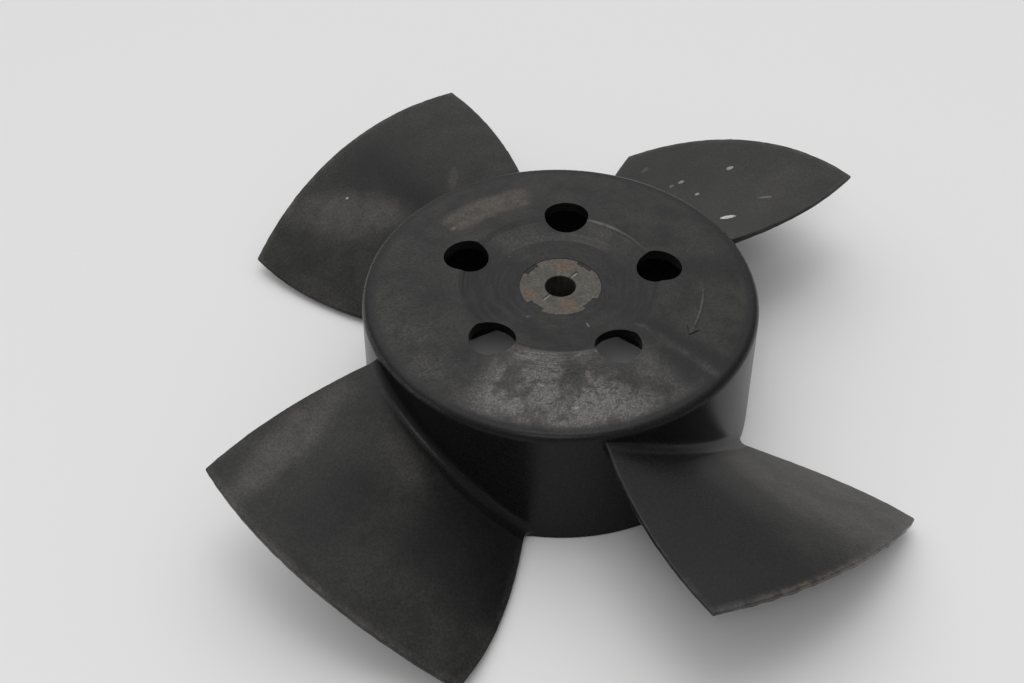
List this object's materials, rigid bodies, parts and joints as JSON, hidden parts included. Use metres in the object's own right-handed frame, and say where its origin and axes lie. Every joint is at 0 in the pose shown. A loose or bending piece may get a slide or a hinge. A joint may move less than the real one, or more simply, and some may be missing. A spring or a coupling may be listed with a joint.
{
  "type": "fan blade",
  "caption": "Moulded axial fan wheel: crowned hub cup with holes through its face, wide twisted blades for clockwise rotation, and a notched steel insert that seats on a motor shaft.",
  "frame": {"origin": "centre of the hub cup's foot ring, on the surface that the wheel stands on", "axes": "+Z along the wheel's axis towards the crowned face; the blades lie in an X about it, in pairs that are mirror-like about the Y axis"},
  "size_m": [0.225, 0.249, 0.051],
  "materials": {
    "moulded_plastic": "dull glass-filled black, scuffed grey",
    "insert_steel": "dull turned steel with faint rust"
  },
  "bodies": {
    "root": {"fan_wheel": "moulded_plastic", "hub_insert": "insert_steel"}
  },
  "joints": []
}
